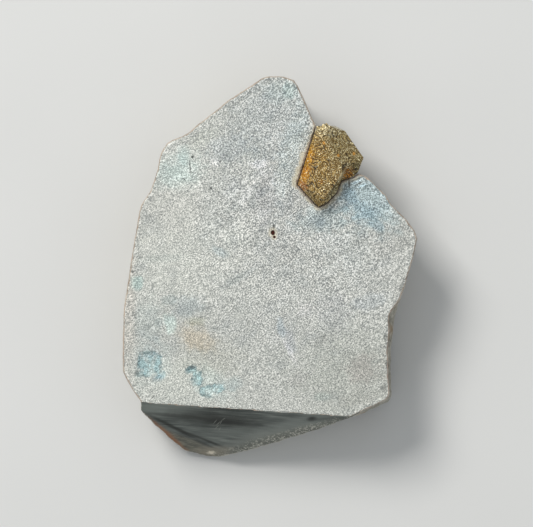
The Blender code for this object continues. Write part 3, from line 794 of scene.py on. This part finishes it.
SCRATCH_HALF_WIDTH = 0.08
for x, y, half_length, turn in SCRATCHES:
    mask = stain_node(tree, wavy, x, y, half_length, SCRATCH_HALF_WIDTH, turn, ragged=0.6)
    joint_colour = painted(tree, mask, 0.50, joint_colour, (150, 152, 143))

# %% [markdown]
# Along the joint's outer rim the colour changes. The rim at the left is rusty orange-brown, the tip
# is beige, and the rim at the lower right is rough with pale crumbs.

# %% The joint's rims
rusty = stain_node(tree, rough, -21.9, -35.5, 6.0, 0.80, -41, ragged=0.3, soft=0.6)
joint_colour = painted(tree, rusty, 0.75, joint_colour, (160, 108, 74))
tip = stain_node(tree, rough, -12.0, -39.0, 4.2, 1.1, 3, ragged=0.5, soft=0.6)
joint_colour = painted(tree, tip, 0.50, joint_colour, (160, 152, 136))
bright_fleck = stain_node(tree, wavy, -12.4, -39.2, 0.8, 0.35, ragged=0.9)
joint_colour = painted(tree, bright_fleck, 0.85, joint_colour, (232, 222, 202))
crumb_grain = grain_node(tree, size=0.34, contrast=3.2, seed=15.0, clumping=0.2)["Value"]
crumbs = mapped(tree, crumb_grain, 0.45, 0.95, 0.0, 0.80)
crumbly = stain_node(tree, rough, 3.9, -35.6, 14.0, 1.15, 15.8, ragged=0.4)
joint_colour = painted(tree, crumbly, 0.55, joint_colour, (118, 118, 108))
joint_colour = painted(tree, crumbly, crumbs, joint_colour, (196, 194, 182))

# %% The broken sides' colour
side_grain = grain_node(tree, size=0.7, contrast=1.6, seed=4.0)
side_colour = ramp_of(tree, side_grain["Value"], [
    (0.0, shade(122, 116, 104)), (0.4, shade(164, 160, 148)), (0.7, shade(190, 187, 175)),
    (1.0, shade(214, 210, 196)),
])
rust = mapped(tree, grain_node(tree, size=6.0, contrast=1.6, seed=12.0)["Value"], 0.62, 0.8)
side_colour = painted(tree, rust, 0.45, side_colour, (176, 140, 98))
ridge = mask_of(tree, "ridge")
# Painted shade: creases, hollows and chips are darkened, since the ridge mask is low there. Ridges that
# stand out are made paler.
side_colour = blended(tree, mapped(tree, ridge, -0.35, 0.0, 0.55, 0.0), side_colour, shade(96, 88, 74))
side_colour = blended(tree, mapped(tree, ridge, 0.02, 0.16, 0.0, 0.5), side_colour, shade(214, 211, 200))

# %% [markdown]
# The three colours meet along ragged lines. The masks from the mesh are soft, so grain is added to
# them before they are cut sharp. A thin warm skin runs along the rim of the face. Last come the two
# pits, which are dark brown from the iron of the grain that weathered out, with a cream ring.

# %% Put the marl together
BORDER_RAGGED = 0.9
FACE_ROUGHNESS = 0.92
JOINT_SMOOTHER = 0.22  # the joint's roughness is this much lower
JOINT_EVENER = 0.75  # and its bump is lower by this share
MARL_SPECULAR = 0.3
MARL_BUMP = 0.38
PITS = [(0.6, 7.2, 0.46, 0.54), (0.9, 6.3, 0.28, 0.30)]  # x, y, half width, half height
HALO_WIDER = 2.0
HALO_TALLER = 1.9

border_grain = grain_node(tree, size=0.6, contrast=1.0, seed=2.0)["Height"]
ragged = maths(tree, "MULTIPLY", border_grain, BORDER_RAGGED)
on_face = mask_of(tree, "on_face")
face_mask = mapped(tree, maths(tree, "ADD", on_face, ragged), 0.40, 0.62)
joint_mask = mapped(tree, maths(tree, "ADD", mask_of(tree, "on_joint"), ragged), 0.42, 0.66)
side_colour = painted(tree, mapped(tree, on_face, 0.02, 0.20), 0.5, side_colour, (160, 128, 108))
marl_colour = blended(tree, joint_mask, side_colour, joint_colour)
marl_colour = blended(tree, face_mask, marl_colour, face_colour)
for x, y, wide, tall in PITS:
    halo = stain_node(tree, wavy, x, y, wide * HALO_WIDER, tall * HALO_TALLER, ragged=0.3, soft=0.4)
    marl_colour = painted(tree, halo, 0.45, marl_colour, (222, 210, 180))
for shape in PITS:
    hole = stain_node(tree, wavy, *shape, ragged=0.15, soft=0.2)
    marl_colour = blended(tree, hole, marl_colour, shade(58, 24, 12))
tree.links.new(marl_colour, marl_shader.inputs["Base Color"])
roughness = maths(tree, "MULTIPLY_ADD", joint_mask, -JOINT_SMOOTHER, FACE_ROUGHNESS)
tree.links.new(roughness, marl_shader.inputs["Roughness"])
marl_shader.inputs["Specular IOR Level"].default_value = MARL_SPECULAR
evener = maths(tree, "MULTIPLY_ADD", joint_mask, -JOINT_EVENER, 1.0)
bump_height = maths(tree, "MULTIPLY", fine["Height"], evener)
bump = add(tree, "ShaderNodeBump", {"Strength": 1.0, "Distance": MARL_BUMP * MM, "Height": bump_height})
tree.links.new(bump.outputs[0], marl_shader.inputs["Normal"])
stone.data.materials.clear()
stone.data.materials.append(marl)
print("marl:", len(tree.nodes), "nodes")

# %% [markdown]
# ## The pyrite
#
# Clean pyrite is pale brass. This one has weathered to bronze, with a skin of golden and orange iron
# rust where water stood: along the left-hand edge, at the lower left corner and in the notch on the
# right. The skin is duller and less like metal. Fine dark lines run between tiny scales everywhere,
# and the scales catch the light, so they drive the colour, the gloss and the bump together.

# %% The pyrite's colour
pyrite, tree, pyrite_shader = new_material("pyrite")
scale_grain = grain_node(tree, size=0.20, contrast=3.0, seed=1.0, clumping=0.2, stretch=1.3, turn=70.0)
bronze = ramp_of(tree, scale_grain["Value"], [
    (0.0, shade(97, 74, 37)), (0.35, shade(136, 108, 58)), (0.6, shade(160, 131, 75)),
    (1.0, shade(230, 207, 151)),
])
BRONZE = (155, 129, 80)
PYRITE_STAINS_AND_PAINTED_LIGHT = [
    # x, y, half width, half height, turn, raggedness, softness, colour, strength
    (16.5, 25.2, 3.6, 5.0, 30, 0.5, 0.6, (160, 142, 98), 0.8),
    (11.0, 28.9, 3.2, 1.5, -10, 0.6, 0.5, (156, 141, 104), 0.8),
    (9.3, 21.6, 2.2, 4.6, -16, 0.7, 0.7, (158, 122, 56), 0.55),
    (7.6, 21.4, 1.1, 4.8, -16, 0.6, 0.6, (150, 110, 16), 0.85),
    (8.3, 23.4, 0.7, 1.9, -12, 0.5, 0.5, (184, 142, 26), 0.75),
    (7.3, 19.4, 1.0, 1.6, -12, 0.5, 0.5, (186, 136, 22), 0.8),
    (6.7, 16.9, 1.2, 0.9, -40, 0.6, 0.5, (152, 90, 40), 0.7),
    (10.7, 17.9, 0.5, 0.4, 0, 0.5, 0.5, (182, 128, 50), 0.7),
    (18.6, 20.8, 1.6, 1.9, -25, 0.5, 0.5, (116, 98, 54), 0.8),
    (16.4, 19.7, 1.0, 1.3, -20, 0.6, 0.4, (158, 100, 10), 0.95),
    # Painted light: this row lightens the lower-right bevel, which faces away from the lamp and would be in
    # shade.
    (13.6, 15.4, 1.7, 1.0, 52, 0.5, 0.5, (172, 158, 118), 0.75),
]
rough = pull_of(tree, 1.0)
for *shape, colour, strength in PYRITE_STAINS_AND_PAINTED_LIGHT:
    mask = stain_node(tree, rough, *shape)
    bronze = tinted(tree, maths(tree, "MULTIPLY", mask, strength), bronze, colour, BRONZE)
worn = mapped(tree, mask_of(tree, "ridge"), 0.02, 0.07, 0.0, 0.35)
bronze = blended(tree, worn, bronze, shade(204, 184, 136))
lines = lines_node(tree, size=2.4, rings=12.0, rows=1.0, turn=60.0, width=0.6, seed=2.0)
golden_strip = stain_node(tree, rough, 7.6, 21.4, 1.0, 6.0, -16, ragged=0.4)
line_share = maths(tree, "MULTIPLY_ADD", golden_strip, -0.62, 0.92)
bronze = painted(tree, lines, line_share, bronze, (38, 25, 10))

# %% [markdown]
# The last touches are small: golden specks of fresh rust, a painted shadow line where the crystals meet
# the marl, painted highlights on edges and painted shade in creases, and painted glints where a scale
# faces the light. The edges and creases are placed as seen from above, so a mask keeps them off the
# upright walls.

# %% Specks, painted seam shade, painted highlights and glints
SPECKS = [(11.3, 26.0), (14.3, 23.4), (17.6, 23.8)]
SPECK_HALF = (0.30, 0.32)
SEAM_SHADE_FADES = (GAP + 0.02, GAP + 0.40)

wavy = pull_of(tree, 0.5)
for x, y in SPECKS:
    speck = stain_node(tree, wavy, x, y, *SPECK_HALF, soft=0.4)
    bronze = painted(tree, speck, 0.80, bronze, (212, 150, 62))
# Painted shade: a dark seam on the crystals where they meet the marl.
seam_shade = mapped(tree, mask_of(tree, "to_stone"), *SEAM_SHADE_FADES, 0.85, 0.0)
bronze = blended(tree, seam_shade, bronze, shade(52, 26, 12))
CRYSTAL_HIGHLIGHTS_AND_SHADE = [
    # x, y, half width, half height, turn, colour, strength
    # Pale rows are painted highlights along edges that catch the light. Dark rows are painted shade in the
    # notch and along a crease.
    (14.2, 29.2, 1.9, 0.22, -20, (214, 208, 190), 0.8), (15.0, 19.2, 0.30, 1.5, -32, (216, 200, 160), 0.55),
    (15.7, 21.3, 0.30, 0.9, -35, (40, 24, 10), 0.7), (9.4, 28.6, 0.5, 0.16, 38, (232, 222, 190), 0.6),
    (7.9, 14.9, 1.1, 0.16, -52, (226, 196, 120), 0.6), (13.3, 16.4, 0.16, 2.0, -30, (52, 40, 24), 0.5),
]
looks_up = mask_of(tree, "looks_up")
for *shape, colour, strength in CRYSTAL_HIGHLIGHTS_AND_SHADE:
    mark = maths(tree, "MULTIPLY", stain_node(tree, wavy, *shape), looks_up)
    bronze = painted(tree, mark, strength, bronze, colour)
middle_edge = stain_node(tree, rough, 14.5, 19.7, 0.6, 1.9, -28, soft=0.4)
upper_corner = stain_node(tree, rough, 10.6, 28.5, 2.2, 1.3, ragged=0.6)
sparkling = maths(tree, "MAXIMUM", middle_edge, upper_corner)
spark_grain = grain_node(tree, size=0.24, contrast=3.2, seed=11.0, clumping=0.1)["Value"]
sparks = maths(tree, "MULTIPLY_ADD", sparkling, 0.08, spark_grain)
bronze = blended(tree, mapped(tree, sparks, 0.80, 0.98), bronze, shade(246, 232, 190))
tree.links.new(bronze, pyrite_shader.inputs["Base Color"])

# %% The pyrite's gloss and bump
METALLIC = 0.55
RUST_LESS_METALLIC = 0.35
RUST_ROUGHER = 0.2
DULL_ROUGHNESS = 0.52
BRIGHT_ROUGHNESS = 0.28
LINE_DEPTH = 0.15  # against the height of the grains
PYRITE_BUMP = 0.16

left_edge = stain_node(tree, rough, 7.8, 20.4, 1.7, 6.4, -16)
notch = stain_node(tree, rough, 16.6, 20.0, 1.7, 1.7, soft=0.4)
rusty = maths(tree, "MAXIMUM", left_edge, notch)
metallic = maths(tree, "MULTIPLY_ADD", rusty, -RUST_LESS_METALLIC, METALLIC)
tree.links.new(metallic, pyrite_shader.inputs["Metallic"])
glint_grain = grain_node(tree, size=0.3, contrast=2.0, seed=6.0)["Value"]
glint = mapped(tree, glint_grain, 0.3, 0.8, DULL_ROUGHNESS, BRIGHT_ROUGHNESS)
roughness = maths(tree, "MULTIPLY_ADD", rusty, RUST_ROUGHER, glint)
tree.links.new(roughness, pyrite_shader.inputs["Roughness"])
scale_height = maths(tree, "MULTIPLY_ADD", lines, -LINE_DEPTH, scale_grain["Height"])
bump = add(tree, "ShaderNodeBump", {"Strength": 1.0, "Distance": PYRITE_BUMP * MM, "Height": scale_height})
tree.links.new(bump.outputs[0], pyrite_shader.inputs["Normal"])
crystal.data.materials.clear()
crystal.data.materials.append(pyrite)
print("pyrite:", len(tree.nodes), "nodes")

# %% [markdown]
# ## Fit the pieces to the model
#
# Each fine mesh takes the place of the plain solid it was made from, which is hidden, and belongs to
# the one body of a thing with no moving parts.

# %% Put the fine meshes in place of the solids
for piece, node, slot in ((stone, "stone_matrix", "marl"), (crystal, "pyrite_crystal", "pyrite")):
    piece.data.polygons.foreach_set("use_smooth", [True] * len(piece.data.polygons))
    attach(piece, "root")
    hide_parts(node)

# %% [markdown]
# ## Floor, light and camera
#
# The specimen can't stand on its point, so it lies on a pale floor and the camera looks straight
# down at its face. A long lens far away keeps the outline free of perspective. One large soft light
# comes from the upper left and a dim sky fills the rest.

# %% The floor
FLOOR_HALF = 1.2
FLOOR_ROUGHNESS = 0.9

mesh = bpy.data.meshes.new("floor")
corners = [(-FLOOR_HALF, -FLOOR_HALF, 0), (FLOOR_HALF, -FLOOR_HALF, 0), (FLOOR_HALF, FLOOR_HALF, 0),
           (-FLOOR_HALF, FLOOR_HALF, 0)]
mesh.from_pydata(corners, [], [(0, 1, 2, 3)])
floor = bpy.data.objects.new("floor", mesh)
scene.collection.objects.link(floor)
paper, tree, paper_shader = new_material("pale_floor")
paper_grain = grain_node(tree, size=40.0, contrast=0.8, seed=0.0)["Value"]
tint = ramp_of(tree, paper_grain, [(0.0, shade(212, 212, 210)), (1.0, shade(220, 220, 218))])
tree.links.new(tint, paper_shader.inputs["Base Color"])
paper_shader.inputs["Roughness"].default_value = FLOOR_ROUGHNESS
floor.data.materials.append(paper)

# %% The lights
SKY = 0.5
SKY_COLOUR = (0.93, 0.97, 1.0)
KEY_PLACE = Vector((-0.66, 0.80, 1.02))
KEY_WATTS = 17.0
KEY_SIZE = 0.55
KEY_COLOUR = (1.0, 0.98, 0.95)

world = bpy.data.worlds.new("studio")
scene.world = world
world.use_nodes = True
world.node_tree.nodes["Background"].inputs["Color"].default_value = (*SKY_COLOUR, 1.0)
world.node_tree.nodes["Background"].inputs["Strength"].default_value = SKY
key = bpy.data.lights.new("key", "AREA")
key.shape = "SQUARE"
key.size = KEY_SIZE
key.energy = KEY_WATTS
key.color = KEY_COLOUR
key_object = bpy.data.objects.new("key", key)
key_object.location = KEY_PLACE
key_object.rotation_euler = KEY_PLACE.to_track_quat("Z", "Y").to_euler()
scene.collection.objects.link(key_object)

# %% The camera
VIEW_WIDTH = 0.1119
VIEW_MIDDLE = (-0.74 * MM, 0.74 * MM)
FACE_HEIGHT = 16.0 * MM  # where the view has that width
CAMERA_HEIGHT = 2.4
SENSOR = 36.0
SEEN_TO = 20.0

camera_data = bpy.data.cameras.new("camera")
camera_data.sensor_width = SENSOR
camera_data.lens = SENSOR * (CAMERA_HEIGHT - FACE_HEIGHT) / VIEW_WIDTH
camera_data.clip_end = SEEN_TO
camera = bpy.data.objects.new("camera", camera_data)
camera.location = (*VIEW_MIDDLE, CAMERA_HEIGHT)
scene.collection.objects.link(camera)
scene.camera = camera
scene.view_settings.view_transform = "Standard"
print("lens, mm:", round(camera_data.lens))
